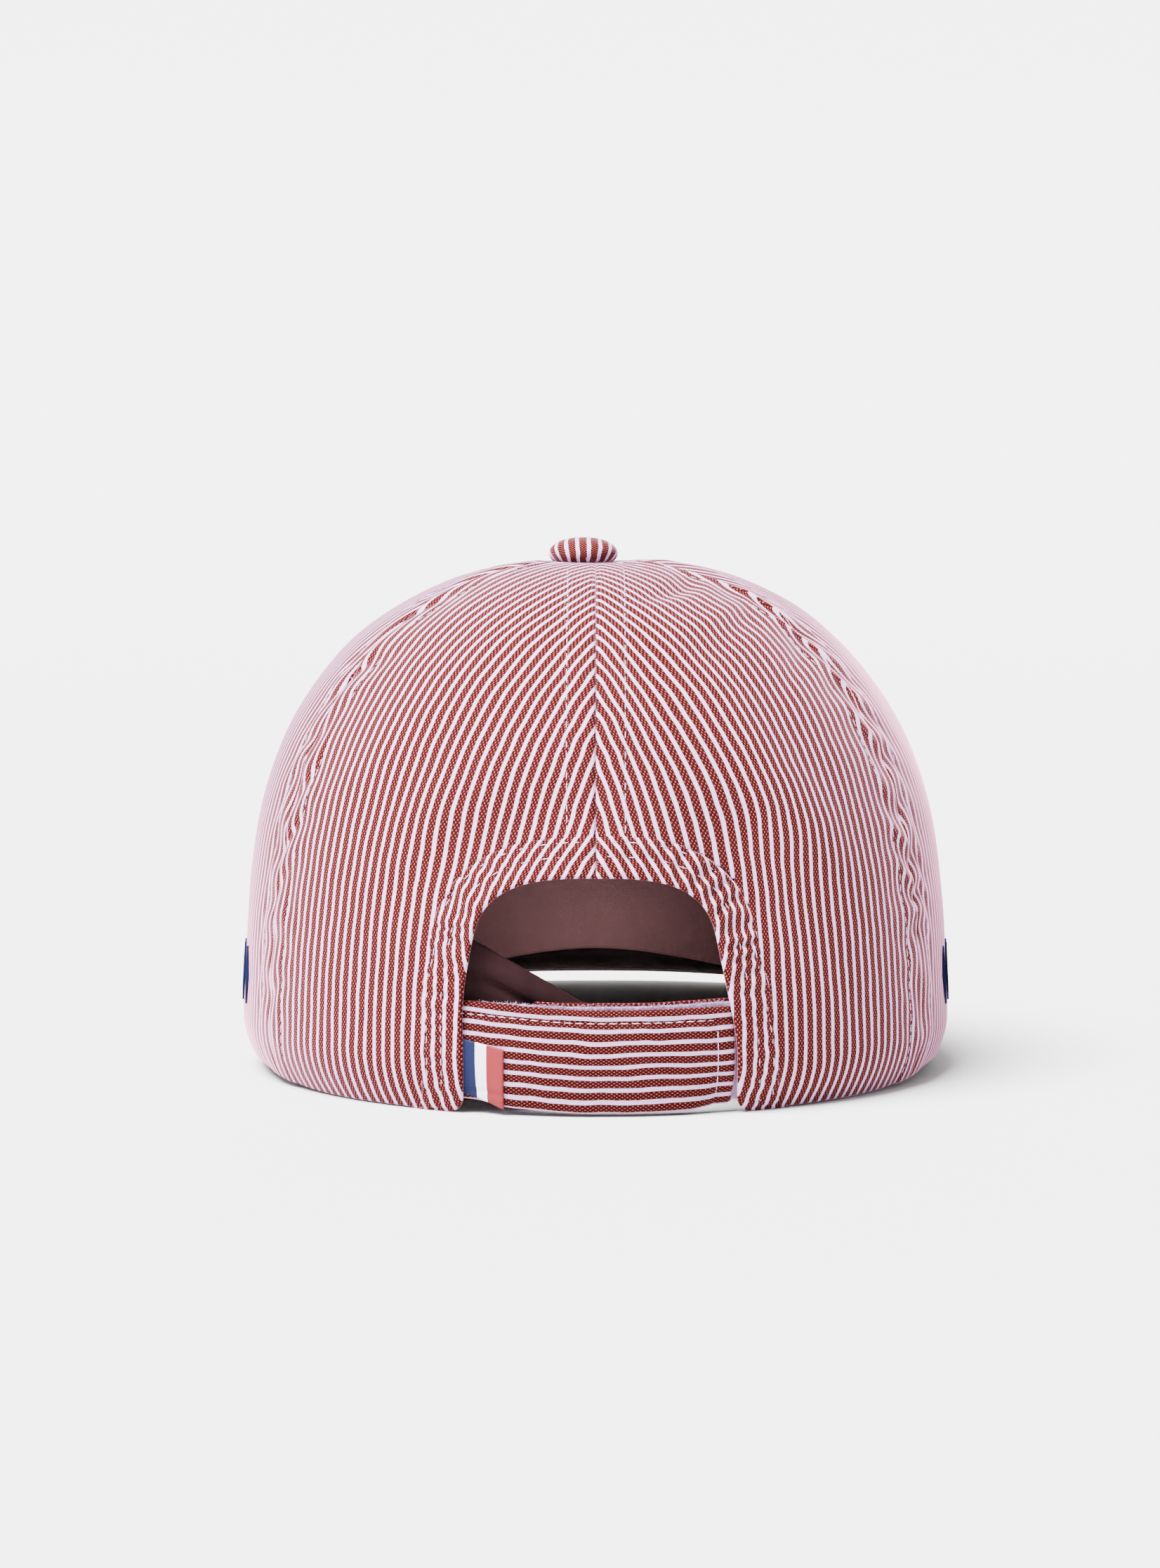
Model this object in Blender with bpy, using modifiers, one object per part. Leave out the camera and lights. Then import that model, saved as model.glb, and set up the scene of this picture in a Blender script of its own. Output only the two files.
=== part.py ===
"""A soft six-panel cap with a curved peak and a hook-and-loop strap across its back opening.

It rests on the back of its rim and on the edge of its peak. Metres, +Z up, z = 0 on the surface
it rests on, +Y towards the peak and +X to the right as seen from behind. The origin is under the
middle of the whole outline. Angles on the crown are plan angles round the crown's own centre,
0 at the back of the head and positive towards +X.
"""

import math
from collections import namedtuple

import bmesh
import bpy
from mathutils import Vector

# Crown
CROWN_WIDTH = 0.1684
CROWN_BACK = 0.098
CROWN_FRONT = 0.098
CROWN_HEIGHT = 0.1198
FRONT_LIFT = 0.017
TUCK_HEIGHT = 0.013
TUCK_DEPTH = 0.0046
PANEL_WALL = 0.0014
SEAM_DIP = 0.0008
PANEL_EASE = 0.0010
CROWN_HOLE_RADIUS = 0.0025
RIM_OVERRUN = 0.0015

# Gaps between pieces that touch on the real cap
CLEARANCE = 0.0003
LAYER_GAP = 0.0004

# Back opening
OPENING_WIDTH = 0.0600
OPENING_HEIGHT = 0.0528
OPENING_SPRING = 0.0250
OPENING_ROUNDNESS = 3.1

# Button
BUTTON_DIAMETER = 0.0164
BUTTON_HEIGHT = 0.0055
BUTTON_WAIST = 0.0017
BUTTON_OFFSET = -0.0030

# Peak
PEAK_LENGTH = 0.070
PEAK_ROOT_ANGLE = 62.0
PEAK_CORNER = 0.0015
PEAK_ROUNDNESS = 2.5
PEAK_SHOULDER = 0.008
PEAK_BOARD = 0.0032
PEAK_EDGE_LIFT = 0.0040
PEAK_ROUNDING = 0.0010
PEAK_REST_START = 0.55
PEAK_REST_END = 0.75

# Sweatband
SWEATBAND_HEIGHT = 0.036
SWEATBAND_WALL = 0.0012
SWEATBAND_TAIL = 0.0300
SWEATBAND_TAIL_HEIGHT = 0.0210

# Closing straps
STRAP_WIDTH = 0.0225
STRAP_WALL = 0.0014
STRAP_TUCK = 0.0080
STRAP_FOOT = 0.0006
STRAP_SAG = 0.0010
STRAP_END_GAP = 0.0007
LOOP_OVERHANG = 0.0014
LOOP_HIDDEN_END = 0.0080

# Woven tab
TAG_WIDTH = 0.0093
TAG_HEIGHT = 0.0130
TAG_WALL = 0.0008
TAG_RISE = 0.0040
TAG_SLOPE = 0.0022

# Meridians of the crown: how full the curve is, and how far the rim is lifted and tucked in there,
# as shares of FRONT_LIFT and TUCK_DEPTH.
Meridian = namedtuple("Meridian", "angle fullness lift tuck")
MERIDIANS = (
    Meridian(angle=0, fullness=2.50, lift=0.00, tuck=0.60),
    Meridian(angle=45, fullness=2.56, lift=0.00, tuck=1.05),
    Meridian(angle=75, fullness=2.64, lift=0.17, tuck=1.05),
    Meridian(angle=95, fullness=2.68, lift=0.18, tuck=1.00),
    Meridian(angle=120, fullness=2.55, lift=0.26, tuck=0.80),
    Meridian(angle=150, fullness=2.42, lift=0.72, tuck=0.40),
    Meridian(angle=180, fullness=2.35, lift=1.00, tuck=0.00),
)

# Dents and swells of the soft cloth: centre and reach round the crown in degrees, centre and reach
# as shares of CROWN_HEIGHT, how many degrees the form leans over that reach, and its rise as a
# share of PANEL_EASE.
Relief = namedtuple("Relief", "angle reach height spread lean rise")
RELIEFS = (
    Relief(angle=-92, reach=34, height=0.68, spread=0.20, lean=0, rise=0.5),
    Relief(angle=92, reach=34, height=0.70, spread=0.20, lean=0, rise=-0.3),
    Relief(angle=-88, reach=40, height=0.95, spread=0.11, lean=0, rise=-1.1),
    Relief(angle=88, reach=40, height=0.96, spread=0.10, lean=0, rise=-1.2),
    Relief(angle=40, reach=7, height=0.90, spread=0.08, lean=22, rise=-0.7),
    Relief(angle=58, reach=6, height=0.86, spread=0.08, lean=18, rise=-0.6),
    Relief(angle=-22, reach=10, height=0.50, spread=0.12, lean=-8, rise=-0.5),
    Relief(angle=24, reach=10, height=0.48, spread=0.12, lean=8, rise=-0.5),
)

# The gores of one side, from the back of the head to the front.
PLACES = ("back", "side", "front")
GORE_ANGLE = math.pi / len(PLACES)
GORE_COLUMNS = 10
GORE_ROWS = 20
ROW_CROWDING = 1.45

# The seams and dents fade out towards the button, between these shares of the plan radius.
FADE_START = 0.08
FADE_END = 0.35

CROWN_CENTRE_Y = (CROWN_BACK - CROWN_FRONT - PEAK_LENGTH) / 2
HALF_OPENING = OPENING_WIDTH / 2


def ease(value, start, end):
    """0 before start, 1 after end, and a smooth rise between."""
    share = min(1.0, max(0.0, (value - start) / (end - start)))
    return share * share * (3 - 2 * share)


def meridian_at(angle):
    """The meridian at this plan angle in radians, eased between the rows of the table."""
    degrees = abs(math.degrees(math.remainder(angle, 2 * math.pi)))
    for low, high in zip(MERIDIANS, MERIDIANS[1:]):
        if degrees <= high.angle:
            break
    share = ease(degrees, low.angle, high.angle)
    return Meridian(*(a + (b - a) * share for a, b in zip(low, high)))


def rim_height(angle):
    return FRONT_LIFT * meridian_at(angle).lift


def plan_radius(angle):
    """The crown's widest outline from above: half an ellipse at the back, another at the front."""
    reach = CROWN_BACK if math.cos(angle) > 0 else CROWN_FRONT
    return 1 / math.hypot(math.sin(angle) / (CROWN_WIDTH / 2), math.cos(angle) / reach)


def crown_radius(angle, height):
    """The smooth crown's radius at this height, before seams and dents."""
    line = meridian_at(angle)
    share = min(1.0, max(0.0, height / CROWN_HEIGHT))
    radius = plan_radius(angle) * (1 - share**line.fullness) ** (1 / line.fullness)
    below = max(0.0, 1 - height / TUCK_HEIGHT)
    return radius - TUCK_DEPTH * line.tuck * below**2


def height_at_radius(angle, radius):
    """The height near the top where the crown has narrowed to this radius."""
    fullness = meridian_at(angle).fullness
    return CROWN_HEIGHT * (1 - (radius / plan_radius(angle)) ** fullness) ** (1 / fullness)


def smooth_point(angle, height):
    radius = crown_radius(angle, height)
    return Vector((radius * math.sin(angle), CROWN_CENTRE_Y - radius * math.cos(angle), height))


def crown_normal(angle, height):
    """The outward normal of the smooth crown."""
    step = 1e-3
    low = max(height - step * CROWN_HEIGHT, -TUCK_HEIGHT)
    high = min(height + step * CROWN_HEIGHT, height_at_radius(angle, CROWN_HOLE_RADIUS / 2))
    around = smooth_point(angle + step, height) - smooth_point(angle - step, height)
    up = smooth_point(angle, high) - smooth_point(angle, low)
    return around.cross(up).normalized()


def relief_at(angle, height):
    """How far the cloth stands out of the smooth crown: it dips at the seams and has a few dents.

    The sweatband holds the rim round, so the seams only dip above it.
    """
    across = abs(math.remainder(angle - GORE_ANGLE / 2, GORE_ANGLE)) / (GORE_ANGLE / 2)
    above_band = ease(height - rim_height(angle), SWEATBAND_HEIGHT, 2 * SWEATBAND_HEIGHT)
    rise = -SEAM_DIP * above_band * across**6
    for form in RELIEFS:
        up = (height / CROWN_HEIGHT - form.height) / form.spread
        round_crown = math.remainder(angle - math.radians(form.angle + form.lean * up), 2 * math.pi)
        sideways = round_crown / math.radians(form.reach)
        rise += PANEL_EASE * form.rise * math.exp(-(up**2) - sideways**2)
    near_top = crown_radius(angle, height) / plan_radius(angle)
    return rise * ease(near_top, FADE_START, FADE_END)


def crown_point(angle, height, depth=0.0):
    """A point of the cloth's outer face, or one that lies this deep inside it."""
    lift = relief_at(angle, height) - depth
    return smooth_point(angle, height) + crown_normal(angle, height) * lift


def row_height(angle, share, foot):
    """The height at this share of the way along the meridian, from the foot to the crown's hole."""
    top = height_at_radius(angle, CROWN_HOLE_RADIUS)
    start = (1 - foot / CROWN_HEIGHT) ** (1 / 3)
    end = (1 - top / CROWN_HEIGHT) ** (1 / 3)
    steps = 120
    heights = [CROWN_HEIGHT * (1 - (start + (end - start) * i / steps) ** 3) for i in range(steps + 1)]
    points = [smooth_point(angle, height) for height in heights]
    lengths = [0.0]
    for before, after in zip(points, points[1:]):
        lengths.append(lengths[-1] + (after - before).length)
    wanted = share * lengths[-1]
    for i in range(steps):
        if lengths[i + 1] >= wanted:
            break
    part = (wanted - lengths[i]) / (lengths[i + 1] - lengths[i])
    return heights[i] + (heights[i + 1] - heights[i]) * part


def back_angle(x):
    """The plan angle of the point of the back outline that lies at this x."""
    share = x / (CROWN_WIDTH / 2)
    return math.atan2(x, CROWN_BACK * math.sqrt(1 - share * share))


def new_collection(name):
    collection = bpy.data.collections.new(name)
    bpy.context.scene.collection.children.link(collection)
    return collection


def finish_material(name, colour, roughness):
    material = bpy.data.materials.new(name)
    material.use_nodes = True
    shader = material.node_tree.nodes["Principled BSDF"]
    shader.inputs["Base Color"].default_value = (*colour, 1)
    shader.inputs["Roughness"].default_value = roughness
    shader.inputs["Metallic"].default_value = 0.0
    return material


def add_object(name, bm, colour, roughness=0.85):
    """Makes the piece's object from a bmesh, with its own material."""
    mesh = bpy.data.meshes.new(name)
    bm.to_mesh(mesh)
    bm.free()
    mesh.shade_smooth()
    mesh.set_sharp_from_angle(angle=math.radians(40))
    piece = bpy.data.objects.new(name, mesh)
    piece.data.materials.append(finish_material(name + "_finish", colour, roughness))
    CAP.objects.link(piece)
    return piece


def cloth_sheet(across, along, place):
    """A grid laid on the surface that place(u, v) gives, with u and v from 0 to 1."""
    bm = bmesh.new()
    bmesh.ops.create_grid(bm, x_segments=across, y_segments=along, size=1)
    for vert in bm.verts:
        vert.co = place((vert.co.x + 1) / 2, (vert.co.y + 1) / 2)
    return bm


def thicken(piece, wall):
    """Gives an open sheet its wall, inwards from its outer face."""
    solidify = piece.modifiers.new("wall", "SOLIDIFY")
    solidify.thickness = wall
    solidify.offset = -1


def cut(piece, cutter):
    boolean = piece.modifiers.new(cutter.name, "BOOLEAN")
    boolean.operation = "DIFFERENCE"
    boolean.solver = "EXACT"
    boolean.object = cutter


def add_cutter(name, outline, depth):
    """A closed prism: a flat outline of points, extruded along the depth vector."""
    bm = bmesh.new()
    face = bm.faces.new([bm.verts.new(point) for point in outline])
    grown = bmesh.ops.extrude_face_region(bm, geom=[face])["geom"]
    moved = [item for item in grown if isinstance(item, bmesh.types.BMVert)]
    bmesh.ops.translate(bm, verts=moved, vec=depth)
    bmesh.ops.recalc_face_normals(bm, faces=bm.faces)
    mesh = bpy.data.meshes.new(name)
    bm.to_mesh(mesh)
    bm.free()
    cutter = bpy.data.objects.new(name, mesh)
    cutter.display_type = "WIRE"
    cutter.hide_render = True
    CUTTERS.objects.link(cutter)
    return cutter


def floor_cutter():
    """Takes off what of the rim would reach below the surface, so the rim rests on a flat edge."""
    half_x = CROWN_WIDTH
    half_y = CROWN_BACK + CROWN_FRONT
    corners = ((-1, -1), (1, -1), (1, 1), (-1, 1))
    outline = [Vector((half_x * x, half_y * y, 0)) for x, y in corners]
    return add_cutter("floor_cut", outline, Vector((0, 0, -2 * TUCK_HEIGHT)))


def arch_cutter():
    """The back opening: straight sides up to the spring, then half a superellipse."""
    steps = 28
    power = 2 / OPENING_ROUNDNESS
    crown_of_arch = OPENING_HEIGHT - OPENING_SPRING
    front_y = CROWN_CENTRE_Y - CROWN_BACK / 3
    outline = [Vector((HALF_OPENING, front_y, -TUCK_HEIGHT))]
    for i in range(steps + 1):
        turn = math.pi * i / steps
        x = math.copysign(abs(math.cos(turn)) ** power, math.cos(turn)) * HALF_OPENING
        z = OPENING_SPRING + crown_of_arch * math.sin(turn) ** power if 0 < i < steps else OPENING_SPRING
        outline.append(Vector((x, front_y, z)))
    outline.append(Vector((-HALF_OPENING, front_y, -TUCK_HEIGHT)))
    return add_cutter("arch_cut", outline, Vector((0, -CROWN_BACK, 0)))


def crown_panel(name, middle, colour):
    """One gore of the crown, from the rim to the hole under the button.

    Where the rim stands on the surface the cloth overruns it a little, and the floor cut levels it.
    """
    def place(u, v):
        share = v**ROW_CROWDING
        radius = crown_radius(middle, row_height(middle, share, rim_height(middle)))
        half = GORE_ANGLE / 2 - math.asin(CLEARANCE / 2 / radius)
        angle = middle + (2 * u - 1) * half
        lift = rim_height(angle)
        foot = lift - RIM_OVERRUN * (1 - ease(lift, 0, FRONT_LIFT / 4))
        return crown_point(angle, row_height(angle, share, foot))

    piece = add_object(name, cloth_sheet(GORE_COLUMNS, GORE_ROWS, place), colour)
    thicken(piece, PANEL_WALL)
    return piece


def make_crown():
    stripe_mean = (0.72, 0.42, 0.42)
    floor = floor_cutter()
    arch = arch_cutter()
    for side, sign in (("left", -1), ("right", 1)):
        for i, where in enumerate(PLACES):
            piece = crown_panel(f"panel_{where}_{side}", sign * GORE_ANGLE * (i + 0.5), stripe_mean)
            if where != "front":
                cut(piece, floor)
            if where == "back":
                cut(piece, arch)


def make_button():
    """A covered button: a flattened dome drawn in at its base, turned round its own axis."""
    radius = BUTTON_DIAMETER / 2
    waist = BUTTON_WAIST
    dome_steps = 8
    squareness = 0.9
    profile = []
    for i in range(dome_steps + 1):
        turn = math.pi / 2 * (1 - i / dome_steps)
        out = radius * math.cos(turn) ** squareness if i else 0.0
        profile.append((out, waist + (BUTTON_HEIGHT - waist) * math.sin(turn)))
    profile += [(radius * 0.97, waist * 0.4), (radius * 0.86, 0.0), (0.0, 0.0)]
    bm = bmesh.new()
    verts = [bm.verts.new((x, 0, z)) for x, z in profile]
    for above, below in zip(verts, verts[1:]):
        bm.edges.new((above, below))
    piece = add_object("top_button", bm, (0.70, 0.38, 0.38))
    piece.location = (BUTTON_OFFSET, CROWN_CENTRE_Y, CROWN_HEIGHT + CLEARANCE)
    screw = piece.modifiers.new("turn", "SCREW")
    screw.steps = 20
    screw.render_steps = 20
    screw.use_merge_vertices = True
    screw.merge_threshold = 1e-5


def peak_underside(u, v):
    """The peak's lower face: u runs from its left end to its right, v from the crown to its edge."""
    turn = 2 * u - 1
    from_front = turn * math.radians(PEAK_ROOT_ANGLE)
    angle = math.pi - from_front
    root_z = rim_height(angle)
    top_z = root_z + PEAK_BOARD
    root = smooth_point(angle, top_z) + crown_normal(angle, top_z) * CLEARANCE
    corner_angle = math.pi - math.radians(PEAK_ROOT_ANGLE)
    corner = smooth_point(corner_angle, rim_height(corner_angle))
    front_y = CROWN_CENTRE_Y + CROWN_FRONT + PEAK_LENGTH
    swing = abs(turn) * math.pi / 2
    power = 2 / PEAK_ROUNDNESS
    half_width = (corner.x + PEAK_CORNER) * math.sin(swing) ** power
    edge_x = math.copysign(half_width + PEAK_SHOULDER * math.sin(2 * swing) ** 2, turn)
    edge_y = corner.y + (front_y - corner.y) * max(0.0, math.cos(swing)) ** power
    middle_lift = PEAK_EDGE_LIFT * max(0.0, 1 - (turn / PEAK_REST_START) ** 2)
    edge_z = middle_lift + corner.z * ease(abs(turn), PEAK_REST_END, 1)
    return Vector((
        root.x + (edge_x - root.x) * v,
        root.y + (edge_y - root.y) * v,
        root_z + (edge_z - root_z) * v,
    ))


def make_peak():
    """The stiff board and its cloth: one curved slab with softly rounded edges."""
    bm = cloth_sheet(26, 7, peak_underside)
    grown = bmesh.ops.extrude_face_region(bm, geom=bm.faces[:])["geom"]
    moved = [item for item in grown if isinstance(item, bmesh.types.BMVert)]
    bmesh.ops.translate(bm, verts=moved, vec=Vector((0, 0, PEAK_BOARD)))
    bmesh.ops.recalc_face_normals(bm, faces=bm.faces)
    piece = add_object("peak", bm, (0.72, 0.42, 0.42))
    bevel = piece.modifiers.new("rounded edge", "BEVEL")
    bevel.width = PEAK_ROUNDING
    bevel.segments = 2
    bevel.limit_method = "ANGLE"
    bevel.angle_limit = math.radians(50)


def strap_layers(x):
    """How many layers of strap the sweatband leaves room for at this x along the back."""
    one = 1 - ease(abs(x), HALF_OPENING + STRAP_TUCK * 2, HALF_OPENING + STRAP_TUCK * 4)
    return one + ease(HALF_OPENING - abs(x), -STRAP_TUCK / 2, STRAP_TUCK / 2)


def make_sweatband():
    """The inner band, sewn along the rim. Its left end runs on behind the opening and falls away."""
    gap = PANEL_WALL + LAYER_GAP
    layer = STRAP_WALL + LAYER_GAP
    right_end = back_angle(HALF_OPENING + STRAP_TUCK * 0.75)
    left_edge = 2 * math.pi - back_angle(HALF_OPENING + STRAP_TUCK / 2)
    tail_end = 2 * math.pi + back_angle(SWEATBAND_TAIL - HALF_OPENING)

    def depth(angle):
        if math.cos(angle) < 0:
            return gap
        return gap + layer * strap_layers(plan_radius(angle) * math.sin(angle))

    def place(u, v):
        angle = right_end + (tail_end - right_end) * u
        fall = ease(angle, left_edge, tail_end)
        band = SWEATBAND_HEIGHT + (SWEATBAND_TAIL_HEIGHT - SWEATBAND_HEIGHT) * fall
        return crown_point(angle, rim_height(angle) + STRAP_FOOT + band * v, depth(angle))

    piece = add_object("sweatband", cloth_sheet(76, 5, place), (0.42, 0.24, 0.26))
    thicken(piece, SWEATBAND_WALL)


def strap_place(start_x, end_x, width, depth):
    """The placing function of a strap that lies along the back of the crown between two x."""

    def place(u, v):
        x = start_x + (end_x - start_x) * u
        sag = STRAP_SAG * math.sin(math.pi * u)
        return crown_point(back_angle(x), STRAP_FOOT + (width - sag) * v, depth(x))

    return place


def make_straps():
    """The outer strap is sewn under the left panel and lies over the loop strap from the right."""
    outer_depth = PANEL_WALL + LAYER_GAP
    inner_depth = outer_depth + STRAP_WALL + LAYER_GAP
    outer_end = HALF_OPENING - STRAP_END_GAP
    tucked = HALF_OPENING + STRAP_TUCK

    def loop_depth(x):
        past_end = ease(x, outer_end, outer_end + STRAP_TUCK / 2)
        return inner_depth + (outer_depth - inner_depth) * past_end

    outer = strap_place(-tucked, outer_end, STRAP_WIDTH, lambda x: outer_depth)
    piece = add_object("strap_outer", cloth_sheet(16, 6, outer), (0.70, 0.38, 0.38))
    thicken(piece, STRAP_WALL)

    loop_start = LOOP_HIDDEN_END - HALF_OPENING
    inner = strap_place(loop_start, tucked, STRAP_WIDTH + LOOP_OVERHANG, loop_depth)
    piece = add_object("strap_inner", cloth_sheet(16, 6, inner), (0.62, 0.50, 0.60))
    thicken(piece, STRAP_WALL)


def make_tag():
    """The woven tab lies on the outer strap, with one side in the edge of the opening."""
    start_x = -HALF_OPENING + CLEARANCE
    depth = PANEL_WALL - TAG_WALL

    def place(u, v):
        height = TAG_RISE - TAG_SLOPE * u + TAG_HEIGHT * v
        return crown_point(back_angle(start_x + TAG_WIDTH * u), height, depth)

    piece = add_object("woven_tag", cloth_sheet(6, 4, place), (0.55, 0.55, 0.70), 0.7)
    thicken(piece, TAG_WALL)


for old in list(bpy.data.objects):
    bpy.data.objects.remove(old, do_unlink=True)
CAP = new_collection("cap")
CUTTERS = new_collection("cutters")
make_crown()
make_button()
make_peak()
make_sweatband()
make_straps()
make_tag()
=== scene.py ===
"""The looks of a soft six-panel cap in red and white striped cotton, seen from behind.

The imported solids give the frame. Each soft solid is replaced here by its real cloth, and the script
goes through the cap as it is sewn: crown panels, back opening, seams, peak, sweatband, straps, tab,
button and the side embroidery, then the floor, the lights and the camera. Metres throughout.
"""

import math
from collections import namedtuple
from functools import cache

import bmesh
import bpy
import numpy as np
from mathutils import Matrix, Vector, noise


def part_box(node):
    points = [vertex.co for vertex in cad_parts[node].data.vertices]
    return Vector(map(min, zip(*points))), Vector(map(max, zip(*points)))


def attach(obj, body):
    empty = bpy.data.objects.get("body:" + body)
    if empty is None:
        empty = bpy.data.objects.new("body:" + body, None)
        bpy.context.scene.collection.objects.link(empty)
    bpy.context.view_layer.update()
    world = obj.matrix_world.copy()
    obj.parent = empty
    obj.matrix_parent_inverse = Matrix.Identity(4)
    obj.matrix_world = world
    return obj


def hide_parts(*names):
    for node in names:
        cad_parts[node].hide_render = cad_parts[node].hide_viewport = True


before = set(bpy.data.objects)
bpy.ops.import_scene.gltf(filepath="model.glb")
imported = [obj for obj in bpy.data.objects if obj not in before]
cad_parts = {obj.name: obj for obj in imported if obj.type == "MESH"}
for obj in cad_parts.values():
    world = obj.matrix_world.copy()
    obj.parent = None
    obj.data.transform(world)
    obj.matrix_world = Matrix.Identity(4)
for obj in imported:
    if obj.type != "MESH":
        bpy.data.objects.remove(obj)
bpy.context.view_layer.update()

# The six crown panels. Each is a gore of light cotton shirting, woven with red stripes on white.
# They are sewn edge to edge, the seams are pressed open and topstitched, and the rim is turned
# under. Nothing stiffens the cloth, so it puckers along the seams and dents at the top.
MM = 0.001
CROWN_WIDTH = 168.4 * MM
CROWN_BACK = 98 * MM
CROWN_FRONT = 98 * MM
CROWN_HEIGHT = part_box("panel_back_left")[1].z
PEAK_EDGE_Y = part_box("peak")[1].y
PEAK_LENGTH = 70 * MM
CROWN_CENTRE_Y = PEAK_EDGE_Y - PEAK_LENGTH - CROWN_FRONT
FRONT_LIFT = 17 * MM
TUCK_HEIGHT = 13 * MM
TUCK_DEPTH = 4.6 * MM
HOLE_RADIUS = 2.5 * MM
GORE = math.pi / 3
CLOTH = 0.5 * MM
CELL = 1.0 * MM
RIM_TURN = 0.8 * MM
RIM_HEM = 9 * MM

# How full the crown's line is at a plan angle from the back, and how far the rim is lifted and
# tucked in there, as shares of FRONT_LIFT and TUCK_DEPTH.
Meridian = namedtuple("Meridian", "angle fullness lift tuck")
MERIDIANS = (
    Meridian(angle=0, fullness=2.50, lift=0.00, tuck=0.60),
    Meridian(angle=45, fullness=2.56, lift=0.00, tuck=1.05),
    Meridian(angle=75, fullness=2.64, lift=0.17, tuck=1.05),
    Meridian(angle=95, fullness=2.68, lift=0.18, tuck=1.00),
    Meridian(angle=120, fullness=2.55, lift=0.26, tuck=0.80),
    Meridian(angle=150, fullness=2.42, lift=0.72, tuck=0.40),
    Meridian(angle=180, fullness=2.35, lift=1.00, tuck=0.00),
)

# Dents and swells: centre and reach round the crown in degrees, centre and reach as shares of the
# crown's height, how many degrees the form leans over that reach, its rise in millimetres, and how
# far it drags the stripes round the crown.
Dent = namedtuple("Dent", "angle reach height spread lean rise drag", defaults=(0,))
DENTS = (
    Dent(angle=-92, reach=38, height=0.60, spread=0.22, lean=0, rise=1.6),
    Dent(angle=92, reach=38, height=0.58, spread=0.20, lean=0, rise=1.4),
    Dent(angle=-88, reach=40, height=0.96, spread=0.08, lean=0, rise=-0.3),
    Dent(angle=88, reach=40, height=0.97, spread=0.08, lean=0, rise=0.1),
    Dent(angle=0, reach=300, height=1.00, spread=0.04, lean=0, rise=0.8),
    Dent(angle=40, reach=7, height=0.90, spread=0.08, lean=22, rise=-0.7),
    Dent(angle=58, reach=6, height=0.86, spread=0.08, lean=18, rise=-0.6),
    Dent(angle=34, reach=9, height=0.962, spread=0.022, lean=16, rise=-1.3),
    Dent(angle=46, reach=9, height=0.925, spread=0.030, lean=16, rise=0.9),
    Dent(angle=-14, reach=11, height=0.51, spread=0.10, lean=8, rise=-2.3),
    Dent(angle=21, reach=10, height=0.47, spread=0.16, lean=-5, rise=-3.0),
    Dent(angle=27, reach=7, height=0.66, spread=0.19, lean=-10, rise=1.5),
    Dent(angle=22, reach=8, height=0.49, spread=0.17, lean=-3, rise=0, drag=-3.3),
    Dent(angle=28, reach=7, height=0.56, spread=0.10, lean=-6, rise=0, drag=-2.0),
    Dent(angle=9, reach=6, height=0.80, spread=0.12, lean=-4, rise=0.3, drag=0.9),
    Dent(angle=-27, reach=7, height=0.50, spread=0.12, lean=5, rise=0, drag=0.8),
    Dent(angle=-34, reach=10, height=0.70, spread=0.16, lean=12, rise=0.8),
)

# Seams: plan angle in degrees, then the groove's depth, the puckers' rise and spacing and how far
# they drag the stripes aside, in millimetres, and their slant across the seam as a share.
Seam = namedtuple("Seam", "angle groove pucker spacing drag slant")
SEAMS = (
    Seam(angle=0, groove=0.50, pucker=0.06, spacing=7.0, drag=0.15, slant=0.3),
    Seam(angle=60, groove=0.05, pucker=0.55, spacing=11.0, drag=1.25, slant=0.5),
    Seam(angle=120, groove=0.30, pucker=0.35, spacing=9.5, drag=0.6, slant=0.5),
    Seam(angle=180, groove=0.40, pucker=0.10, spacing=8.0, drag=0.2, slant=0.3),
    Seam(angle=-120, groove=0.30, pucker=0.35, spacing=9.0, drag=0.6, slant=-0.5),
    Seam(angle=-60, groove=0.05, pucker=0.45, spacing=12.0, drag=0.95, slant=-0.5),
)
SEAM_GROOVE_REACH = 0.7 * MM
SEAM_RIDGE = 0.22 * MM
STITCH_LINE = 6.6 * MM
STITCH_DENT = 0.16 * MM
PUCKER_REACH = 9 * MM
WRINKLE = 0.22 * MM
WRINKLE_SIZE = 17 * MM
FLOOR_GAP = 0.1 * MM


def ease(value, start, end):
    """0 before start, 1 after end, and a smooth rise between."""
    share = min(1.0, max(0.0, (value - start) / (end - start)))
    return share * share * (3 - 2 * share)


def hump(distance, reach):
    return math.exp(-((distance / reach) ** 2))


@cache
def meridian_at(angle):
    """The meridian at this plan angle in radians, eased between the rows of the table."""
    degrees = abs(math.degrees(math.remainder(angle, 2 * math.pi)))
    for low, high in zip(MERIDIANS, MERIDIANS[1:]):
        if degrees <= high.angle:
            break
    share = ease(degrees, low.angle, high.angle)
    return Meridian(*(a + (b - a) * share for a, b in zip(low, high)))


@cache
def plan_radius(angle):
    reach = CROWN_BACK if math.cos(angle) > 0 else CROWN_FRONT
    return 1 / math.hypot(math.sin(angle) / (CROWN_WIDTH / 2), math.cos(angle) / reach)


def rim_height(angle):
    return FRONT_LIFT * meridian_at(angle).lift


def crown_radius(angle, height):
    line = meridian_at(angle)
    share = min(1.0, max(0.0, height / CROWN_HEIGHT))
    radius = plan_radius(angle) * (1 - share**line.fullness) ** (1 / line.fullness)
    below = max(0.0, 1 - height / TUCK_HEIGHT)
    return radius - TUCK_DEPTH * line.tuck * below**2


def height_at_radius(angle, radius):
    fullness = meridian_at(angle).fullness
    return CROWN_HEIGHT * (1 - (radius / plan_radius(angle)) ** fullness) ** (1 / fullness)


def smooth_point(angle, height):
    radius = crown_radius(angle, height)
    return Vector((radius * math.sin(angle), CROWN_CENTRE_Y - radius * math.cos(angle), height))


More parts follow.
